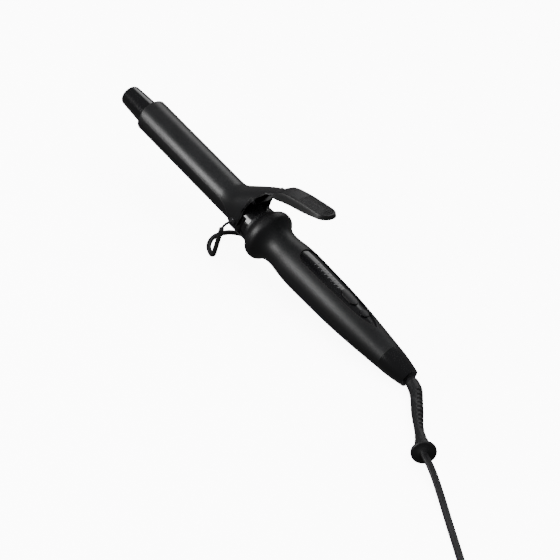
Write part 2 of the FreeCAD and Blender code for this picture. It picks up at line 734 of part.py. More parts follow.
def make_electronics():
    """Circuit board with switches under the buttons, lights, and the mains parts below it."""
    board = block("circuit_board", ("board_front_x", "-0.5 * board_width", "board_z"),
                  ("board_length", "board_width", "board_thick"))
    keep(board, "circuit_board", board.Placement)
    top = "board_z + board_thick"
    switches = []
    for index, x in enumerate(("rocker_x - 4", "rocker_x + 4", "power_x")):
        base = block(f"switch_base_{index}", (x + " - 0.5 * switch_side", "-0.5 * switch_side", top),
                     ("switch_side", "switch_side", "switch_height"))
        plunger = rod(f"switch_plunger_{index}", (x, "0", top + " + switch_height"), "1", "0.8", Z_AXIS)
        switches.append(joined(f"switch_{index}", base, plunger))
    keep(group("push_switches", *switches), "push_switches")
    lights = [rod(f"light_{index}", (f"panel_front_x + 18 + {index} * light_pitch", "0", top), "light_radius",
                  "3.4", Z_AXIS) for index in range(5)]
    keep(group("indicator_lights", *lights), "indicator_lights")
    sink = block("heat_sink", ("board_front_x + 14", "-3", "-2.4"), ("14", "1.2", "5.8"))
    keep(sink, "heat_sink", sink.Placement)
    triac = block("triac", ("board_front_x + 16", "-1.8", "-0.6"), ("10", "3.2", "4"))
    keep(triac, "triac", triac.Placement)
    capacitor = rod("capacitor", ("board_front_x + 34", "0", "-2"), "4", "18")
    keep(capacitor, "capacitor", capacitor.Placement)
    block_body = block("terminal_block", ("board_front_x + 62", "-4", "-1.5"), ("12", "8", "4.9"))
    keep(block_body, "terminal_block", block_body.Placement)


def make_swivel():
    """Slip rings on the swivel's stem, and the brushes that touch them."""
    ring_radius, stem = size("ring_radius"), size("stem_radius")
    first_ring, ring_width = value("seam_x + 0.7"), size("slip_ring_width")
    rings = [cylinder_x(ring_radius, x, x + ring_width).cut(cylinder_x(stem, x - 1, x + ring_width + 1))
             for x in (first_ring, first_ring + size("slip_ring_pitch"))]
    feature("slip_rings", Part.makeCompound(rings))
    holder = cylinder_x(size("cap_bore_radius"), value("frame_rear_x + 0.2"), value("seam_x - 0.2"))
    feature("brush_holder", holder.cut(cylinder_x(ring_radius + 1, size("frame_rear_x"), size("seam_x"))))
    length, width, thick = size("brush_length"), size("brush_width"), size("brush_thick")
    away = value("ring_radius + brush_gap")
    brushes = [Part.makeBox(length, width, thick, Vector(value("seam_x - 2.5"), -width / 2, low))
               for low in (away, -away - thick)]
    feature("brushes", Part.makeCompound(brushes))


# --- mains lead ----------------------------------------------------------------------------------
# These places are in the finished part's frame, where z = 0 is the table. The lead leaves the swivel
# ball to the near side, runs along the table, and its spare length is put away as a coil.

RELIEF_ROUTE = [
    (161.9, -3.2, 7.3), (170.0, -7.2, 6.6), (178.0, -13.0, 6.2), (188.5, -22.3, 6.2),
    (200.0, -32.8, 6.6), (211.5, -42.6, 7.6), (222.5, -52.0, 9.0),
]
CORD_ROUTE = [
    (224.2, -53.3, 9.0), (230.6, -56.0, 8.4), (240.5, -60.0, 6.4), (256.5, -69.0, 3.9), (274.0, -80.5, 2.8),
    (290.0, -91.0, 2.8), (305.0, -101.4, 2.8), (322.0, -112.4, 2.8), (339.3, -123.9, 2.8),
]
COIL_MIDDLE = Vector(363.1, -96.9, 0)
TAIL_ROUTE = [(397.6, -103.5, 10.2), (399.8, -93.5, 9.0), (401.3, -83.5, 7.4), (402.2, -73.5, 6.9)]
PLUG_ENTRY = Vector(402.2, -73.5, 6.9)
PLUG_HEADING = 84.9


def make_swivel_ball(rest):
    """The ball with its stem and the flange that holds it inside the handle's end."""
    ball_x, radius = size("ball_x"), size("ball_radius")
    stem = cylinder_x(size("stem_radius"), value("seam_x + 0.3"), ball_x)
    flange_x = value("ball_x - 12")
    flange = cylinder_x(size("stem_flange_radius"), flange_x, flange_x + size("stem_flange_thick"))
    ball = Part.makeSphere(radius, Vector(ball_x, 0, 0)).fuse([stem, flange])
    ball.transformShape(rest.toMatrix())
    lying_feature("swivel_ball", ball)
    return ball


def make_relief(ball, rest):
    """The strain relief: a neck moulded onto the ball, a sleeve along the lead and a disc at its end."""
    route = [Vector(*point) for point in RELIEF_ROUTE]
    sleeve, _, _ = tube(route, size("relief_radius"))
    middle = rest.multVec(Vector(size("ball_x"), 0, 0))
    reach = route[0] - middle
    neck = Part.makeCylinder(size("neck_radius_out"), reach.Length, middle, reach)
    sleeve = sleeve.fuse(neck)
    end = route[-1]
    out = (end - route[-2]).normalize()
    flare_length = size("relief_flare_length")
    flare = Part.makeCone(value("relief_radius - 0.6"), size("relief_flare_radius"), flare_length,
                          end - out * flare_length, out)
    disc = Part.makeCylinder(value("relief_disc_radius - 0.15"), size("relief_disc_thick"), end, out)
    relief = sleeve.fuse([flare, disc]).cut(ball)
    lying_feature("strain_relief", relief)
    return relief


def make_cord(relief):
    """The lead along the table, the ring that holds its spare length, and the short end at the plug."""
    radius = size("cord_radius")
    stretches = []
    for label, places in (("cord", CORD_ROUTE), ("cord_tail", TAIL_ROUTE)):
        solid, wire, radii = tube([Vector(*place) for place in places], radius)
        solid = solid.cut(relief)
        stretches.append(solid)
        lying_feature(label, solid)
        expected = math.pi * radius ** 2 * wire.Length
        print(label, "length", round(wire.Length, 1), "radii", [round(number, 1) for number in radii],
              "volume", round(solid.Volume, 1), "section x length", round(expected, 1))
    mid, height = size("coil_mid_radius"), value("coil_layers * cord_thick + 0.2")
    half_coil = 2 * radius + size("coil_slack")
    coil = Part.makeCylinder(mid + half_coil, height, COIL_MIDDLE)
    coil = coil.cut(Part.makeCylinder(mid - half_coil, height, COIL_MIDDLE))
    lying_feature("cord_coil", coil.cut(Part.makeCompound(stretches)))
    half_band, width = half_coil + size("tie_thick"), size("tie_width")
    corner = COIL_MIDDLE + Vector(mid - half_band, -width / 2, 0)
    band = Part.makeBox(2 * half_band, width, height + size("tie_thick"), corner)
    band.rotate(COIL_MIDDLE, Z_AXIS, size("tie_heading"))
    lying_feature("cord_tie", band.cut(coil))
    return stretches[-1]


def make_plug(tail):
    """Flat two-pin plug lying on the table, its pins with insulated roots."""
    length, half_width, thick = size("plug_length"), size("plug_width") / 2, size("plug_thick")
    side = [(0, size("plug_nose_half_width")), (size("plug_waist_x"), size("plug_waist_half_width")),
            (size("plug_shoulder_x"), half_width), (length, half_width)]
    corners = [Vector(x, -y, -thick / 2) for x, y in side]
    corners += [Vector(x, y, -thick / 2) for x, y in reversed(side)]
    body = Part.Face(Part.makePolygon(corners + corners[:1])).extrude(Vector(0, 0, thick))
    body = body.makeFillet(size("plug_rounding"), body.Edges)
    sleeve_length = size("plug_sleeve_length")
    sleeve = Part.makeCone(size("plug_entry_radius"), size("plug_sleeve_radius"), sleeve_length,
                           Vector(-sleeve_length, 0, 0), X_AXIS)
    place = Placement(PLUG_ENTRY, Rotation(Z_AXIS, PLUG_HEADING))
    place = place.multiply(Placement(Vector(sleeve_length, 0, 0), Rotation()))
    pins, covers = [], []
    radius, cover, reach = size("plug_pin_radius"), size("plug_pin_cover"), size("plug_pin_length")
    inside = size("plug_pin_root")
    for y in (-size("plug_pin_pitch") / 2, size("plug_pin_pitch") / 2):
        root = Part.makeCylinder(value("plug_pin_radius - plug_cover_thick"), cover + inside,
                                 Vector(length - inside, y, 0), X_AXIS)
        tip = Part.makeCylinder(radius, reach - cover, Vector(length + cover, y, 0), X_AXIS)
        rim = [edge for edge in tip.Edges if edge.BoundBox.XMin > length + reach - 0.01]
        tip = tip.makeFillet(size("plug_pin_rounding"), rim)
        pins.append(root.fuse(tip))
        covers.append(Part.makeCylinder(radius, cover, Vector(length, y, 0), X_AXIS).cut(root))
    roots = Part.makeCompound([pin.copy() for pin in pins])
    shapes = {
        "plug_body": body.fuse(sleeve).cut(roots),
        "plug_pins": Part.makeCompound(pins),
        "pin_covers": Part.makeCompound(covers),
    }
    for label, shape in shapes.items():
        shape.transformShape(place.toMatrix())
        lying_feature(label, shape.cut(tail) if label == "plug_body" else shape)


# --- assembly ------------------------------------------------------------------------------------

def resting_place():
    """Lean the iron back until the stand and the cap touch the table, its box centred on the origin."""
    rise = size("stand_drop") - size("pivot_z") + size("sleeve_radius") - size("cap_mid_radius")
    tilt = math.degrees(math.atan2(rise, size("cap_mid_x") - size("pivot_x")))
    turn = Placement(Vector(), Rotation(Y_AXIS, tilt))
    ball = Part.makeSphere(size("ball_radius"), Vector(size("ball_x"), 0, 0))
    whole = Part.makeCompound([item.Shape.copy() for item, _ in nodes] + [ball])
    whole.transformShape(turn.toMatrix())
    box = whole.optimalBoundingBox(False, False)
    shift = Vector(-(box.XMin + box.XMax) / 2, -(box.YMin + box.YMax) / 2, -box.ZMin)
    print("tilt", round(tilt, 3), "shift", shift, "box", box)
    return Placement(shift, turn.Rotation)


def check(items):
    """Stop if any object failed or a sub-part is not a sound solid."""
    failed = [item.Label for item in doc.Objects if {"Invalid", "Error"} & set(item.State)]
    assert not failed, f"failed objects: {failed}"
    for item in items:
        assert not item.Shape.isNull() and item.Shape.isValid(), f"{item.Label} is not sound"
        assert item.Shape.Solids, f"{item.Label} has no solid"


def write(items):
    os.makedirs("parts", exist_ok=True)
    for item in items:
        item.Shape.exportStep(os.path.join("parts", item.Label + ".step"))
        print(item.Label, "solids", len(item.Shape.Solids), "volume", round(item.Shape.Volume, 1))


make_barrel()
make_heater()
make_collar()
make_clamp_spring()
make_clamp()
make_stand()
make_handle()
make_cap()
make_inner_frame()
make_electronics()
make_swivel()
doc.recompute()
rest = resting_place()
for item, local in nodes:
    item.Placement = rest.multiply(local)
relief = make_relief(make_swivel_ball(rest), rest)
tail = make_cord(relief)
make_plug(tail)
doc.recompute()
finished = [item for item, _ in nodes] + lying
check(finished)
write(finished)
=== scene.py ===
"""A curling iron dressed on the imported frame. Lengths are metres; names ending in _MM hold millimetres."""
import json
import math

import bmesh
import bpy
from mathutils import Matrix, Vector


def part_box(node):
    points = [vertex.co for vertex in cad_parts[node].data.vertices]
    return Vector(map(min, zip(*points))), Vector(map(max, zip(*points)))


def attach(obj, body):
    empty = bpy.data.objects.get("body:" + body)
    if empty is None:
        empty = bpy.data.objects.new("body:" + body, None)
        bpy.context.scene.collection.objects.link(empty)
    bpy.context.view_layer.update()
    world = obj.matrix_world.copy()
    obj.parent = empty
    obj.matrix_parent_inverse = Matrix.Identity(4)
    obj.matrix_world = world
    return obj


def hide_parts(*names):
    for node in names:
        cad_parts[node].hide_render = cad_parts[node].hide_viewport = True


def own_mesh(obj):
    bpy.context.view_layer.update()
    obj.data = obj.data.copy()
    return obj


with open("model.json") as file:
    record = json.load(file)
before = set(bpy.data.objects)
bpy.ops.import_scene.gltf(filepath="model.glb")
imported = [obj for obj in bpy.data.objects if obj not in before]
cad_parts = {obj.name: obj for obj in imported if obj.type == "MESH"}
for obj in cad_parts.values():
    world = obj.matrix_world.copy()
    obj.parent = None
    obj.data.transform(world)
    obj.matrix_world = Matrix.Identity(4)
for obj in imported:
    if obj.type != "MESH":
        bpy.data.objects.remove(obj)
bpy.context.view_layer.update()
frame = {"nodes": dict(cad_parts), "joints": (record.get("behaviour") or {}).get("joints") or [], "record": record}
nodes = frame["nodes"]
joints = {joint["name"]: joint for joint in frame["joints"]}

MM = 0.001
PIVOT_MM = Vector((-21, 0, -1.5))   # the clamp hinge in the iron's own axes
UP = Vector((0, 0, 1))

# --- places --------------------------------------------------------------------------------------
# The iron's own axes: X along the barrel towards the cord, Y to the far side, Z towards the lever,
# zero at the handle's guard. It lies leaned back, so the swivel's axis gives its direction.

along = Vector(joints["cord_swivel"]["axis"]).normalized()
upright = Vector((-along.z, 0, along.x))
turn = Matrix((along, Vector((0, 1, 0)), upright)).transposed()
iron_origin = Vector(joints["clamp_hinge"]["pos_m"]) - turn @ (PIVOT_MM * MM)


def iron(x, y, z):
    """A place in the iron's own axes, given in millimetres, as a point of the scene."""
    return iron_origin + turn @ (Vector((x, y, z)) * MM)


def straight(stations, x):
    """Value at x on straight lines between stations, level beyond their ends."""
    if x <= stations[0][0]:
        return stations[0][1]
    for (left, low), (right, high) in zip(stations, stations[1:]):
        if x <= right:
            return low + (high - low) * (x - left) / (right - left)
    return stations[-1][1]


def between(stations, x):
    """Value at x on a smooth line through (x, value) stations."""
    if x <= stations[0][0]:
        return stations[0][1]
    for (left, low), (right, high) in zip(stations, stations[1:]):
        if x <= right:
            share = (x - left) / (right - left)
            return low + (high - low) * share * share * (3 - 2 * share)
    return stations[-1][1]


def spline(points, per_step):
    """Points of the scene along the smooth line whose control points are given in millimetres."""
    data = bpy.data.curves.new("route", "CURVE")
    data.dimensions = "3D"
    line = data.splines.new("NURBS")
    line.points.add(len(points) - 1)
    for target, point in zip(line.points, points):
        target.co = (*(Vector(point) * MM), 1)
    line.order_u = 3
    line.use_endpoint_u = True
    line.resolution_u = per_step
    holder = bpy.data.objects.new("route", data)
    mesh = bpy.data.meshes.new_from_object(holder)
    places = [vertex.co.copy() for vertex in mesh.vertices]
    bpy.data.objects.remove(holder)
    bpy.data.curves.remove(data)
    bpy.data.meshes.remove(mesh)
    return places


def travelled(path):
    """Distance of each point of a path from its start."""
    distances = [0.0]
    for first, second in zip(path, path[1:]):
        distances.append(distances[-1] + (second - first).length)
    return distances


def evenly(path, step):
    """The same path with its points an even step apart."""
    distances = travelled(path)
    count = round(distances[-1] / step)
    places = []
    index = 0
    for number in range(count + 1):
        wanted = distances[-1] * number / count
        while index < len(path) - 2 and distances[index + 1] < wanted:
            index += 1
        span = distances[index + 1] - distances[index]
        places.append(path[index].lerp(path[index + 1], (wanted - distances[index]) / span))
    return places


# --- mesh helpers --------------------------------------------------------------------------------

def new_piece(name, verts, faces, body, finish, replaced=()):
    """A smooth mesh piece that rides on a body, has a slot's finish and may stand for frame nodes."""
    mesh = bpy.data.meshes.new(name)
    mesh.from_pydata([tuple(vert) for vert in verts], [], faces)
    work = bmesh.new()
    work.from_mesh(mesh)
    bmesh.ops.remove_doubles(work, verts=work.verts, dist=1e-7)
    bmesh.ops.recalc_face_normals(work, faces=work.faces)
    work.to_mesh(mesh)
    work.free()
    mesh.shade_smooth()
    piece = bpy.data.objects.new(name, mesh)
    bpy.context.scene.collection.objects.link(piece)
    mesh.materials.append(finishes[finish])
    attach(piece, body)
    if replaced:
        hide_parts(*replaced)
    return piece


def bands(rows, closed):
    """Quads between neighbouring rows of equal length; a closed row joins its end to its start."""
    count = len(rows[0])
    steps = count if closed else count - 1
    faces = []
    for row in range(len(rows) - 1):
        for step in range(steps):
            after = (step + 1) % count
            faces.append((row * count + step, row * count + after,
                          (row + 1) * count + after, (row + 1) * count + step))
    return faces


def sweep(path, outline):
    """Rows of a tube along a path; outline(distance) gives its section as (side, up) pairs."""
    rows = []
    distances = travelled(path)
    for index, place in enumerate(path):
        before, after = path[max(index - 1, 0)], path[min(index + 1, len(path) - 1)]
        heading = (after - before).normalized()
        side = heading.cross(UP).normalized()
        over = side.cross(heading)
        rows.append([place + side * across + over * up for across, up in outline(distances[index])])
    return rows


def closed_tube(name, rows, body, finish, replaced=()):
    """A tube from its rows, both ends capped."""
    count = len(rows[0])
    verts = [vert for row in rows for vert in row]
    faces = bands(rows, True)
    faces.append(tuple(range(count)))
    faces.append(tuple(range(len(verts) - count, len(verts))))
    return new_piece(name, verts, faces, body, finish, replaced)


def soften(piece, width, segments=2, angle=35):
    """Round the sharp edges of a piece."""
    rounding = piece.modifiers.new("rounding", "BEVEL")
    rounding.width = width
    rounding.segments = segments
    rounding.limit_method = "ANGLE"
    rounding.angle_limit = math.radians(angle)
    rounding.harden_normals = True


# --- materials -----------------------------------------------------------------------------------

BROAD_SCALE = 45    # noise features of about 22 mm, for uneven sheen


def surface(name, colour, spread, roughness, grain, bump, metallic=0.0, coat=0.0, stretch=(1, 1, 1),
            uneven=0.05, edge_wear=0.0, alpha=1.0, specular=0.5):
    """A surface whose colour, roughness and grain follow fine and broad noise."""
    material = bpy.data.materials.new(name)
    material.use_nodes = True
    tree = material.node_tree
    shader = tree.nodes["Principled BSDF"]
    shader.inputs["Metallic"].default_value = metallic
    shader.inputs["Coat Weight"].default_value = coat
    shader.inputs["Coat Roughness"].default_value = 0.12
    shader.inputs["Specular IOR Level"].default_value = specular
    shader.inputs["Alpha"].default_value = alpha

    coords = tree.nodes.new("ShaderNodeTexCoord")
    mapping = tree.nodes.new("ShaderNodeMapping")
    mapping.inputs["Scale"].default_value = stretch
    tree.links.new(coords.outputs["Object"], mapping.inputs["Vector"])
    fine = tree.nodes.new("ShaderNodeTexNoise")
    fine.inputs["Scale"].default_value = grain
    fine.inputs["Detail"].default_value = 5
    tree.links.new(mapping.outputs["Vector"], fine.inputs["Vector"])
    broad = tree.nodes.new("ShaderNodeTexNoise")
    broad.inputs["Scale"].default_value = BROAD_SCALE
    broad.inputs["Detail"].default_value = 3
    tree.links.new(coords.outputs["Object"], broad.inputs["Vector"])

    blend = tree.nodes.new("ShaderNodeMath")
    blend.operation = "MULTIPLY_ADD"
    blend.inputs[1].default_value = 0.5
    tree.links.new(fine.outputs["Fac"], blend.inputs[0])
    half = tree.nodes.new("ShaderNodeMath")
    half.operation = "MULTIPLY"
    half.inputs[1].default_value = 0.5
    tree.links.new(broad.outputs["Fac"], half.inputs[0])
    tree.links.new(half.outputs["Value"], blend.inputs[2])

    ramp = tree.nodes.new("ShaderNodeValToRGB")
    ramp.color_ramp.elements[0].position = 0.3
    ramp.color_ramp.elements[1].position = 0.7
    ramp.color_ramp.elements[0].color = (*[part * (1 - spread) for part in colour], 1)
    ramp.color_ramp.elements[1].color = (*[part * (1 + spread) for part in colour], 1)
    tree.links.new(blend.outputs["Value"], ramp.inputs["Fac"])
    colour_out = ramp.outputs["Color"]
    if edge_wear:
        geometry = tree.nodes.new("ShaderNodeNewGeometry")
        rubbed = tree.nodes.new("ShaderNodeMapRange")
        rubbed.inputs["From Min"].default_value = 0.52
        rubbed.inputs["From Max"].default_value = 0.62
        rubbed.inputs["To Max"].default_value = edge_wear
        tree.links.new(geometry.outputs["Pointiness"], rubbed.inputs["Value"])
        mix = tree.nodes.new("ShaderNodeMixRGB")
        mix.inputs["Color2"].default_value = (*[min(part * 3 + 0.03, 1) for part in colour], 1)
        tree.links.new(rubbed.outputs["Result"], mix.inputs["Fac"])
        tree.links.new(colour_out, mix.inputs["Color1"])
        colour_out = mix.outputs["Color"]
    tree.links.new(colour_out, shader.inputs["Base Color"])

    gloss = tree.nodes.new("ShaderNodeMapRange")
    gloss.inputs["From Min"].default_value = 0.3
    gloss.inputs["From Max"].default_value = 0.7
    gloss.inputs["To Min"].default_value = roughness - uneven
    gloss.inputs["To Max"].default_value = roughness + uneven
    tree.links.new(blend.outputs["Value"], gloss.inputs["Value"])
    tree.links.new(gloss.outputs["Result"], shader.inputs["Roughness"])

    relief = tree.nodes.new("ShaderNodeBump")
    relief.inputs["Strength"].default_value = bump
    relief.inputs["Distance"].default_value = 0.00006
    tree.links.new(fine.outputs["Fac"], relief.inputs["Height"])
    tree.links.new(relief.outputs["Normal"], shader.inputs["Normal"])
    return material


BRUSHED = (0.08, 1, 1)
finishes = {
    "barrel_coating": surface("barrel_coating", (0.0055, 0.0055, 0.006), 0.3, 0.4, 2600, 0.55),
    "clamp_metal": surface("clamp_metal", (0.0075, 0.0075, 0.008), 0.18, 0.34, 3200, 0.25, edge_wear=0.3),
    "gloss_black": surface("gloss_black", (0.004, 0.004, 0.0045), 0.15, 0.16, 1500, 0.06, coat=0.4),
    "matte_black": surface("matte_black", (0.006, 0.006, 0.0065), 0.16, 0.45, 4200, 0.3, uneven=0.03),
    "steel": surface("steel", (0.5, 0.5, 0.51), 0.12, 0.26, 2600, 0.3, metallic=1.0, stretch=BRUSHED),
    "dark_metal": surface("dark_metal", (0.012, 0.012, 0.013), 0.15, 0.24, 2600, 0.2, edge_wear=0.35),
    "cord_rubber": surface("cord_rubber", (0.0065, 0.0065, 0.007), 0.2, 0.5, 3600, 0.45, edge_wear=0.15),
    "heater_metal": surface("heater_metal", (0.7, 0.7, 0.72), 0.1, 0.4, 2200, 0.4, metallic=1.0,
                            stretch=BRUSHED),
    "heater_ceramic": surface("heater_ceramic", (0.78, 0.75, 0.7), 0.08, 0.6, 1800, 0.4),
    "insulation": surface("insulation", (0.52, 0.4, 0.22), 0.25, 0.55, 900, 0.5),
    "copper": surface("copper", (0.75, 0.42, 0.25), 0.12, 0.3, 2400, 0.25, metallic=1.0, stretch=BRUSHED),
    "plated": surface("plated", (0.66, 0.65, 0.62), 0.06, 0.2, 2600, 0.15, metallic=1.0, stretch=BRUSHED),
    "sensor_glass": surface("sensor_glass", (0.8, 0.45, 0.25), 0.1, 0.12, 1200, 0.1, alpha=0.85),
    "inner_plastic": surface("inner_plastic", (0.7, 0.7, 0.67), 0.06, 0.5, 2800, 0.3),
    "board": surface("board", (0.03, 0.16, 0.07), 0.2, 0.35, 1400, 0.3, coat=0.3),
    "component": surface("component", (0.03, 0.03, 0.04), 0.2, 0.3, 2200, 0.25),
}
floor_finish = surface("floor_finish", (0.93, 0.93, 0.93), 0.01, 0.6, 300, 0.1)
rim_finish = surface("rim_finish", (0.2, 0.2, 0.205), 0.1, 0.3, 3200, 0.15, metallic=0.8)
mark_finish = surface("mark_finish", (0.09, 0.09, 0.095), 0.1, 0.4, 3000, 0.15)
button_finish = surface("button_finish", (0.005, 0.005, 0.0055), 0.15, 0.3, 3600, 0.2)


# --- camera --------------------------------------------------------------------------------------

def make_camera():
    """The picture's own view: a long lens from above the handle's near side, slightly rolled."""
    place = Vector((0.77146, -0.89695, 0.78521))
    right = Vector((0.66840, 0.71944, 0.18882))
    up = Vector((-0.52057, 0.27115, 0.80962))
    data = bpy.data.cameras.new("camera")
    data.sensor_width = 36
    data.lens = 123.75
    data.clip_end = 20
    camera = bpy.data.objects.new("camera", data)
    bpy.context.scene.collection.objects.link(camera)
    back = right.cross(up)
    camera.matrix_world = Matrix.Translation(place) @ Matrix((right, up, back)).transposed().to_4x4()
    bpy.context.scene.camera = camera


# --- mains lead ----------------------------------------------------------------------------------

TWIN_OFFSET = 1.15 * MM       # each core's centre from the middle of the flat lead
TWIN_RADIUS = 1.55 * MM
RELIEF_ROUTE_MM = [
    (156.7, 0, 8.0), (163.2, -1.6, 7.6), (171.6, -5.4, 6.8), (178.9, -12.3, 6.2), (188.8, -22.1, 6.2),
    (200.0, -32.8, 6.6), (211.5, -42.6, 7.6), (222.5, -52.0, 9.0), (224.2, -53.45, 9.2),
]
CORD_ROUTE_MM = [
    (219.5, -49.4, 8.6), (224.2, -53.3, 9.0), (230.6, -55.6, 8.4), (240.5, -59.6, 6.0), (256.5, -68.6, 3.0),
    (274.0, -80.2, 1.8), (290.0, -91.0, 1.7), (305.0, -101.4, 1.7), (322.0, -112.4, 1.7),
    (333.0, -119.6, 1.7),
]
COIL_MIDDLE_MM = Vector((363.1, -96.9))
COIL_INNER_MM, COIL_OUTER_MM = 28.3, 33.75
COIL_ENTRY_MM = 36.0          # radius at which the lead comes in from the table
COIL_START = math.radians(-122.7)
COIL_TURNS, COIL_LAYERS = 7, 4
COIL_LAST_SWEEP = 112         # degrees wound after the last whole turn
COIL_POINTS = 14              # control points in a turn
COIL_CROSSING = 30            # degrees before the start of a turn where its crossing begins
COIL_TAIL_SWEEP, COIL_TAIL_OUT_MM = 70, 2.2   # the last degrees swing out towards the plug
LYING_MM, LAYER_RISE_MM = 1.7, 3.25           # height of the lowest layer, and of each on the one below
TAIL_ROUTE_MM = [(399.4, -95.0, 10.0), (400.9, -86.0, 8.2), (401.6, -79.5, 7.1), (402.2, -73.5, 6.9),
                 (403.1, -63.5, 6.9)]


def coil_route():
    """Turns wound to the left: two side by side in each of four layers, with short crossings between."""
    reach = 1 / (0.75 + 0.25 * math.cos(2 * math.pi / COIL_POINTS))   # control points lie outside their line
    slots = []
    for layer in range(COIL_LAYERS):
        pair = [(COIL_OUTER_MM, layer), (COIL_INNER_MM, layer)]
        slots += pair if layer % 2 == 0 else pair[::-1]
    swept_end = COIL_TURNS * 360 + COIL_LAST_SWEEP
    crossed = COIL_CROSSING * 1.2
    step = 360 / COIL_POINTS
    route = []
    for index in range(int(swept_end / step) + 1):
        swept = index * step
        turn_number, within = divmod(swept + COIL_CROSSING, 360)
        turn_number = int(turn_number)
        radius, layer = slots[min(turn_number, len(slots) - 1)]
        if turn_number and within < crossed:
            old_radius, old_layer = slots[turn_number - 1]
            share = within / crossed
            radius = old_radius + (radius - old_radius) * share
            layer = old_layer + (layer - old_layer) * share
        if index < 3:
            radius += (COIL_ENTRY_MM - COIL_OUTER_MM) * (1 - index / 3)
        tail = swept - swept_end + COIL_TAIL_SWEEP
        if tail > 0:
            radius += COIL_TAIL_OUT_MM * tail / COIL_TAIL_SWEEP
        angle = COIL_START + math.radians(swept)
        flat = COIL_MIDDLE_MM + Vector((math.cos(angle), math.sin(angle))) * radius * reach
        route.append((flat.x, flat.y, LYING_MM + layer * LAYER_RISE_MM))
    return route


def twin_outline(_):
    """Section of the flat twin lead: two round cores joined side by side."""
    outline = []
    for side in (1, -1):
        for step in range(9):
            angle = math.radians(-132 + 33 * step)
            outline.append((side * (TWIN_OFFSET + TWIN_RADIUS * math.cos(angle)),
                            side * TWIN_RADIUS * math.sin(angle)))
    return outline


def make_cord():
    path = spline(CORD_ROUTE_MM + coil_route() + TAIL_ROUTE_MM, 5)
    cord = closed_tube("mains_cord", sweep(path, twin_outline), "lead", "cord_rubber",
                       ("cord", "cord_coil", "cord_tail"))
    print("cord length", round(travelled(path)[-1], 3))


# Distance along the strain relief and its radius: neck, waist, flare and disc.
RELIEF_PROFILE = [
    (0, 3.3), (5, 3.9), (9, 4.7), (15, 4.85), (24, 4.5), (38, 4.4), (47, 3.95), (55, 3.45), (62, 3.5),
    (68, 4.0), (74, 4.9), (80, 6.3), (82.2, 7.2), (82.5, 8.3), (83.2, 8.85), (84.4, 8.9),
    (85.2, 8.5), (85.6, 7.6), (85.7, 2.0),
]
RELIEF_STEP_MM = 0.22


def make_relief():
    """Strain relief with cross slots in two opposite sides."""
    first_slot, last_slot, pitch, slot_depth = 17, 62, 4.5, 0.85
    window_middle, window_half = 127, 50    # degrees round the section where the slots are cut
    facets = 40

    def outline(distance):
        run = distance / MM
        radius = between(RELIEF_PROFILE, run)
        phase = ((run - first_slot) % pitch) / pitch
        cut = 0.0
        if first_slot < run < last_slot:
            cut = slot_depth * max(0.0, min(1.0, (0.26 - abs(phase - 0.5)) / 0.1))
        ring = []
        for facet in range(facets):
            angle = 360 * facet / facets
            away = abs((angle - window_middle + 90) % 180 - 90)
            depth = cut * max(0.0, min(1.0, (window_half - away) / 8))
            reach = (radius - depth) * MM
            ring.append((reach * math.cos(math.radians(angle)), reach * math.sin(math.radians(angle))))
        return ring

    coarse = spline(RELIEF_ROUTE_MM, 40)
    path = evenly(coarse, RELIEF_STEP_MM * MM)
    return closed_tube("ribbed_relief", sweep(path, outline), "lead", "cord_rubber", ("strain_relief",))


TIE_HEADING = math.radians(60)
TIE_CLEARANCE_MM = 2.7        # from the lead's middle line to the strap
TIE_CORNER_MM = 1.5
# Section of the strap: place across its width and thickness above the lead.
TIE_SECTION = [(-3.5, 0.0), (-3.2, 0.3), (-1.6, 0.42), (0.0, 0.45), (1.6, 0.42), (3.2, 0.3), (3.5, 0.0),
               (3.2, -0.2), (0.0, -0.25), (-3.2, -0.2)]


def tie_loop(half_width, height):
    """The strap's rounded loop round the coil's section, as (outward, up) points."""
    loop = []
    for quarter, (across, up) in enumerate(((1, 1), (-1, 1), (-1, -1), (1, -1))):
        for step in range(6):
            angle = math.radians(90 * quarter + 18 * step)
            side = across * (half_width + 0.55 - TIE_CORNER_MM) + TIE_CORNER_MM * math.cos(angle)
            rise = (height / 2 + 0.1) + up * (height / 2 + 0.25 - TIE_CORNER_MM)
            rise += TIE_CORNER_MM * math.sin(angle)
            loop.append((side, max(rise, 0.35)))
    return loop


def make_tie():
    """A soft strap round the coil's section."""
    low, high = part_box("cord_coil")
    middle = (COIL_INNER_MM + COIL_OUTER_MM) / 2
    loop = tie_loop((COIL_OUTER_MM - COIL_INNER_MM) / 2 + TIE_CLEARANCE_MM, (high.z - low.z) / MM)
    out = Vector((math.cos(TIE_HEADING), math.sin(TIE_HEADING), 0))
    round_coil = Vector((-out.y, out.x, 0))
    centre = Vector((*COIL_MIDDLE_MM, 0)) + out * middle
    rows = []
    count = len(loop)
    for index in range(count):
        before, after = loop[index - 1], loop[(index + 1) % count]
        run = Vector((after[0] - before[0], after[1] - before[1])).normalized()
        outward = Vector((run.y, -run.x))
        row = []
        for along_coil, thick in TIE_SECTION:
            spot = Vector(loop[index]) + outward * thick
            place = centre + out * spot.x + UP * max(spot.y, 0.02) + round_coil * along_coil
            row.append(place * MM)
        rows.append(row)
    verts = [vert for row in rows for vert in row]
    total = len(verts)
    faces = [tuple(index % total for index in face) for face in bands(rows + [rows[0]], True)]
    return new_piece("coil_tie", verts, faces, "lead", "cord_rubber", ("cord_tie",))


PLUG_HEADING = math.radians(84.9)
PLUG_ENTRY_MM = Vector((402.2, -73.5, 6.9))
PLUG_LENGTH_MM, PLUG_STEP_MM = 48, 0.25
PLUG_HALF_WIDTH = [(0, 3.2), (2, 3.5), (12, 4.9), (14, 5.4), (22, 7.6), (30, 12.2), (35, 13), (47, 13),
                   (47.6, 12.6), (48, 11.6)]
PLUG_HALF_HEIGHT = [(0, 2.8), (2, 3.1), (12, 4.6), (14, 5.0), (24, 6.4), (30, 6.8), (47, 6.8), (47.6, 6.4),
                    (48, 5.4)]
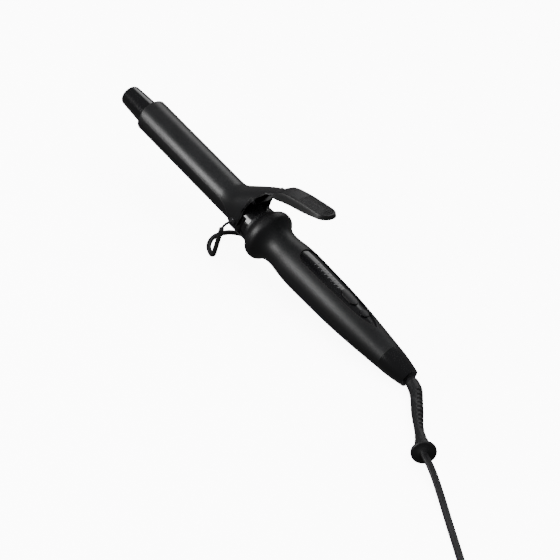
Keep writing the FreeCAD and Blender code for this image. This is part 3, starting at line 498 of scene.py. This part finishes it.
# Rows of grooves: where they start and end, their pitch, width and depth.
SLEEVE_GROOVES = (2, 12, 2.5, 1.0, 0.55)
GRIP_GROOVES = (33, 43, 2, 0.8, 0.5)


def groove_depth(run, start, end, pitch, width, depth):
    """Depth at a distance along a body that has a row of grooves."""
    return depth if start < run < end and (run - start) % pitch < width else 0.0


def make_plug():
    """Flat two-pin plug: rounded sections along its length, grooved on its sleeve and its sides."""
    ahead = Vector((math.cos(PLUG_HEADING), math.sin(PLUG_HEADING), 0))
    side = Vector((-ahead.y, ahead.x, 0))
    facets = 48
    rows = []
    for number in range(int(PLUG_LENGTH_MM / PLUG_STEP_MM) + 1):
        run = PLUG_STEP_MM * number
        sleeve_cut = groove_depth(run, *SLEEVE_GROOVES)
        wide = between(PLUG_HALF_WIDTH, run) - sleeve_cut - groove_depth(run, *GRIP_GROOVES)
        high = between(PLUG_HALF_HEIGHT, run) - sleeve_cut
        square = 0.5 + 0.25 * min(1, max(0, (run - 12) / 12))   # 0.5 is an ellipse, more is squarer
        row = []
        for facet in range(facets):
            angle = 2 * math.pi * facet / facets
            across = math.copysign(abs(math.cos(angle)) ** (2 * (1 - square)), math.cos(angle)) * wide
            up = math.copysign(abs(math.sin(angle)) ** (2 * (1 - square)), math.sin(angle)) * high
            row.append((PLUG_ENTRY_MM + ahead * run + side * across + UP * up) * MM)
        rows.append(row)
    return closed_tube("plug_shell", rows, "lead", "matte_black", ("plug_body",))


# --- clamp ---------------------------------------------------------------------------------------

SPOON_RADIUS_MM = 14.1
CROWN = [(-44, 14.1), (-40, 14.2), (-36.5, 15.2), (-33, 17.4), (-27, 22.2), (-20, 27.9), (-13, 33.2),
         (-7, 37.3), (-1, 40.9), (5, 43.4)]                       # height of the sheet's top line
HALF_WIDTH = [(-42, 14.1), (-34, 14.5), (-27, 14.9), (10, 14.9)]
SQUARENESS = [(-42, 2), (-36, 2.15), (-28, 2.6), (-10, 2.8)]      # 2 is a round arch, more is squarer
SPOON_FRONT = [(-139.8, 38), (-139.4, 50), (-138.4, 60), (-136.4, 67), (-133, 71)]   # x, half angle
SPOON_HALF_ANGLE = 72
SPOON_PLACES = (-128, -112, -94, -76, -60, -50, -44.5)
# Rows of the hood: x of the crown, then x and height of the foot. The feet run round the ear and back up.
HOOD_ROWS = [
    (-41, -41, 4.2), (-37.5, -37.6, 3.8), (-33.5, -34, 3.0), (-29.5, -30.6, 1.4), (-25.6, -28, -1.4),
    (-22.4, -25.6, -4.6), (-19, -21.4, -6.9), (-15.8, -17.6, -4.7), (-13.8, -16.3, -0.6),
    (-12.4, -16.25, 4.4), (-11.2, -16.2, 10), (-9.9, -15.8, 15), (-8.4, -14.5, 20), (-6.8, -12.9, 24.5),
    (-5.0, -10.7, 29), (-2.8, -8, 33.4), (0.2, -4.4, 37.5),
]
# Rows of the lever: x and height of its top line, then x, half width and height of its edge.
LEVER_ROWS = [
    (5.5, 43.3, 1.0, 7.1, 41.0), (10.0, 44.7, 8.6, 7.2, 44.0), (18.0, 47.3, 17.5, 7.2, 47.0),
    (28.0, 50.4, 28.0, 7.0, 50.2), (38.0, 53.2, 38.0, 6.0, 53.0), (45.0, 54.6, 44.0, 2.5, 54.4),
]
ROW_STEPS = 14    # steps from crown to foot
FINE_STEPS = 120
SHEET_MM = 1.0


def arch_half_width(x, z):
    """How far out the arched sheet stands at a height."""
    power = straight(SQUARENESS, x)
    share = min(1, max(0, z) / straight(CROWN, x))
    return straight(HALF_WIDTH, x) * (1 - share ** power) ** (1 / power)


def arch_row(crown_x, foot_x, foot_z):
    """Half a row of the arched sheet, from its crown to its foot, with even steps."""
    crown_z = straight(CROWN, crown_x)
    lean = 1 + 2 * min(1, max(0, (22 - foot_z) / 10))   # rows with low feet drop straight, then sweep back
    fine = []
    for step in range(FINE_STEPS + 1):
        z = crown_z - (crown_z - foot_z) * (step / FINE_STEPS) ** 2
        x = foot_x + (crown_x - foot_x) * ((z - foot_z) / (crown_z - foot_z)) ** lean
        fine.append(Vector((x, arch_half_width(x, z) if step else 0, z)))
    length = travelled(fine)[-1]
    return evenly(fine, length / ROW_STEPS)


def clamp_half_rows():
    """Half rows from the spoon's front to the lever's end."""
    rows = []
    for x, half_angle in SPOON_FRONT + [(x, SPOON_HALF_ANGLE) for x in SPOON_PLACES]:
        rows.append(arch_row(x, x, SPOON_RADIUS_MM * math.cos(math.radians(half_angle))))
    rows += [arch_row(*row) for row in HOOD_ROWS]
    for top_x, top_z, edge_x, half_width, edge_z in LEVER_ROWS:
        row = []
        for step in range(ROW_STEPS + 1):
            share = step / ROW_STEPS
            bend = share ** 2
            x, z = top_x + (edge_x - top_x) * bend, top_z + (edge_z - top_z) * bend
            row.append(Vector((x, half_width * share, z)))
        rows.append(row)
    return rows


def make_clamp():
    """One sheet: the spoon over the barrel, the hood with its ears, and the lever."""
    rows = []
    for half in clamp_half_rows():
        far = [iron(place.x, place.y, place.z) for place in half]
        near = [iron(place.x, -place.y, place.z) for place in reversed(half[1:])]
        rows.append(near + far)
    verts = [vert for row in rows for vert in row]
    clamp = new_piece("clamp_sheet", verts, bands(rows, False), "clamp_lever", "clamp_metal", ("clamp",))
    smoothing = clamp.modifiers.new("smoothing", "SUBSURF")
    smoothing.levels = 2
    smoothing.render_levels = 2
    thick = clamp.modifiers.new("sheet", "SOLIDIFY")
    thick.thickness = SHEET_MM * MM
    thick.offset = -1
    clamp.data.materials.append(rim_finish)
    thick.material_offset_rim = 1
    soften(clamp, 0.22 * MM, 2, 50)


PAD_TOP = [(-3.0, 38.6), (0.0, 41.6), (3.0, 44.6), (6.2, 46.4), (10, 48.0), (15.3, 49.7), (21, 51.4),
           (27.6, 53.0), (34, 54.5), (39.6, 55.7), (44, 56.6), (49.5, 57.6)]
PAD_LOW = [(-3.0, 35.4), (3.7, 37.5), (10, 40.3), (16.8, 42.9), (22.8, 44.8), (28.8, 46.8), (34.5, 49.1),
           (40.3, 51.5), (49.5, 54.6)]
PAD_START_X, PAD_END_X = -1.0, 47.0
PAD_TOP_HALF = 7.0            # half width of the top face
PAD_FLARE = 2.0               # how much further out the pad's low edge stands
PAD_CROWN = 0.9
PAD_ROUNDING = ((0.35, 0.1), (0.7, 0.4), (0.95, 0.9))    # out and down from the top face's rim
RIDGE_PITCH, RIDGE_DEPTH, RIDGES_FROM_X = 1.65, 0.65, 19


def pad_rings():
    """Loops from the middle of the top face over its edge and down the side to the underside. Each has
    its face, its half width, and on the top its distance from the rim, on the edge its drop, on the
    side the share of the way down, and on the underside its lift."""
    rings = []
    inset = PAD_TOP_HALF
    while inset > 0.05:
        rings.append(("top", PAD_TOP_HALF - inset, inset))
        inset -= RIDGE_PITCH / 8
    rings.append(("top", PAD_TOP_HALF, 0.0))
    rings += [("edge", PAD_TOP_HALF + out, drop) for out, drop in PAD_ROUNDING]
    edge_out = PAD_ROUNDING[-1][0]
    rings += [("side", PAD_TOP_HALF + edge_out + (PAD_FLARE - edge_out) * share, share)
              for share in (0.25, 0.5, 0.75, 0.9)]
    rings += [("low", PAD_TOP_HALF + PAD_FLARE - inset, lift)
              for inset, lift in ((0.45, 0.48), (1.1, 0), (4.0, 0), (8.8, 0))]
    return rings


def pad_outline(half):
    """Points of one loop seen from above: along the near side, round the end and back along the far side."""
    straight_steps, arc_steps = 44, 32
    centre_x = PAD_END_X - PAD_TOP_HALF
    near = [(PAD_START_X + (centre_x - PAD_START_X) * step / straight_steps, -half)
            for step in range(straight_steps)]
    angles = [math.pi * step / arc_steps for step in range(arc_steps + 1)]
    end = [(centre_x + half * math.sin(angle), -half * math.cos(angle)) for angle in angles]
    return near + end + [(x, half) for x, _ in reversed(near)]


def pad_height(face, measure, x, y):
    """Height of the pad's surface at a place on one of its faces."""
    top, low = straight(PAD_TOP, x), straight(PAD_LOW, x)
    crown = PAD_CROWN * (1 - (y / (PAD_TOP_HALF + PAD_FLARE)) ** 2)
    if face == "top":
        phase = (measure / RIDGE_PITCH) % 1
        reach = min(1, max(0, (x - RIDGES_FROM_X) / 2.5)) * min(1, measure / 0.7)
        return top + crown - RIDGE_DEPTH * reach * (0.5 + 0.5 * math.cos(2 * math.pi * phase)) ** 2
    if face == "edge":
        return top + crown - measure
    if face == "side":
        return top + crown - 0.9 - (top + crown - 0.9 - low - 0.6) * measure
    return low + measure


def make_pad():
    """Thumb pad: a moulded block round the lever, with U-shaped ridges on the last half of its top."""
    rows = [[iron(x, y, pad_height(face, measure, x, y)) for x, y in pad_outline(half)]
            for face, half, measure in pad_rings()]
    verts = [vert for row in rows for vert in row]
    count = len(rows[0])
    faces = bands(rows, False)
    for index in range(len(rows) - 1):
        first, after = index * count, (index + 1) * count
        faces.append((first, after, after + count - 1, first + count - 1))
    pad = new_piece("thumb_pad", verts, faces, "clamp_lever", "matte_black", ("lever_pad",))
    soften(pad, 0.3 * MM, 2, 60)


# --- control panel details -----------------------------------------------------------------------

def panel_height(x):
    """Height of the panel's surface above the iron's axis at x, in millimetres."""
    found, place, _, _ = nodes["control_panel"].ray_cast(iron(x, 0.6, 40), -upright)
    return (turn.transposed() @ (place - iron_origin)).z / MM if found else 13.0


MARK_COUNT, MARK_START_X, MARK_PITCH = 8, 51.5, 3.6
MARK_RAILS = ((-1.7, 1.1), (1.7, 0.7))    # place across the panel and half length of each row's marks
MARK_POINTS = 12


def make_marks():
    """Two rows of small raised scale marks in front of the rocker, with no lettering."""
    verts, faces = [], []
    for number in range(MARK_COUNT):
        x = MARK_START_X + MARK_PITCH * number
        for rail, half_length in MARK_RAILS:
            base = panel_height(x) - 0.05
            start = len(verts)
            for step in range(MARK_POINTS):
                angle = 2 * math.pi * step / MARK_POINTS
                across = rail + half_length * math.cos(angle)
                ahead = x + 0.34 * math.sin(angle) + 0.25 * math.cos(angle)
                verts.append(iron(ahead, across, base))
                verts.append(iron(x + (ahead - x) * 0.8, rail + (across - rail) * 0.85, base + 0.22))
            ring = list(range(start, start + 2 * MARK_POINTS))
            for step in range(MARK_POINTS):
                low, high = ring[2 * step], ring[2 * step + 1]
                after = (2 * step + 2) % (2 * MARK_POINTS)
                faces.append((low, ring[after], ring[after + 1], high))
            faces.append(tuple(ring[1::2]))
            faces.append(tuple(ring[0::2]))
    marks = new_piece("scale_marks", verts, faces, "iron", "matte_black")
    marks.data.materials[0] = mark_finish


# --- frame nodes' finishes -----------------------------------------------------------------------

def dress_nodes():
    """Give every frame node the finish of its slot."""
    for part in frame["record"]["subparts"]:
        mesh = nodes[part["node"]].data
        mesh.materials.clear()
        mesh.materials.append(finishes[part["material_slot"]])
    for name in ("temp_rocker", "power_button"):
        nodes[name].data.materials.clear()
        nodes[name].data.materials.append(button_finish)
        soften(nodes[name], 0.35 * MM, 3)


def make_spring():
    """The clamp's leaf spring, copied to ride on the iron. On the real iron the lever presses it flatter as the
    clamp opens; this copy keeps its shape.
    """
    spring = bpy.data.objects.new("leaf_spring", nodes["clamp_spring"].data.copy())
    bpy.context.scene.collection.objects.link(spring)
    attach(spring, "iron")
    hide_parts("clamp_spring")
    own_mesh(spring)


# --- floor and lights ----------------------------------------------------------------------------

def make_floor():
    """A white table that glows faintly, so that it stays white without lighting the black iron from below."""
    mesh = bpy.data.meshes.new("floor")
    half = 6.0
    corners = [(-half, -half, 0), (half, -half, 0), (half, half, 0), (-half, half, 0)]
    mesh.from_pydata(corners, [], [(0, 1, 2, 3)])
    mesh.materials.append(floor_finish)
    floor = bpy.data.objects.new("floor", mesh)
    floor.visible_glossy = False
    floor.visible_diffuse = False
    glow = floor_finish.node_tree.nodes["Principled BSDF"]
    glow.inputs["Emission Color"].default_value = (1, 1, 1, 1)
    glow.inputs["Emission Strength"].default_value = 9
    bpy.context.scene.collection.objects.link(floor)


def soft_light(name, place, target, width, height, power, mirrored=True):
    """A rectangular softbox; one that is not mirrored lights surfaces but never shows in their gloss."""
    data = bpy.data.lights.new(name, "AREA")
    data.shape = "RECTANGLE"
    data.size = width
    data.size_y = height
    data.energy = power
    light = bpy.data.objects.new(name, data)
    light.location = place
    aim = Vector(target) - Vector(place)
    light.rotation_euler = aim.to_track_quat("-Z", "Y").to_euler()
    light.visible_glossy = mirrored
    bpy.context.scene.collection.objects.link(light)


SKY_LIGHT, SKY_SEEN = 0.1, 10   # strength of the sky as light, and as the camera sees it


def make_lights():
    """A dim white sky, a box for the highlight along the near side, one behind, and light from above."""
    world = bpy.data.worlds.new("studio")
    bpy.context.scene.world = world
    world.use_nodes = True
    sky = world.node_tree.nodes["Background"]
    sky.inputs["Color"].default_value = (1, 1, 1, 1)
    ray = world.node_tree.nodes.new("ShaderNodeLightPath")
    seen = world.node_tree.nodes.new("ShaderNodeMapRange")
    seen.inputs["To Min"].default_value = SKY_LIGHT
    seen.inputs["To Max"].default_value = SKY_SEEN
    world.node_tree.links.new(ray.outputs["Is Camera Ray"], seen.inputs["Value"])
    world.node_tree.links.new(seen.outputs["Result"], sky.inputs["Strength"])
    soft_light("left_box", (-0.48, -1.06, 0.48), (0, 0, 0.03), 0.5, 0.5, 11)
    soft_light("back_box", (-0.9, 1.5, 1.3), (0, 0, 0.03), 1.1, 1.1, 7)
    soft_light("overhead_fill", (0, 0, 2.2), (0, 0, 0), 3.2, 3.2, 170, mirrored=False)


make_camera()
relief = make_relief()
tie = make_tie()
plug = make_plug()
make_cord()
make_clamp()
make_pad()
make_marks()
dress_nodes()
make_spring()
make_floor()
make_lights()
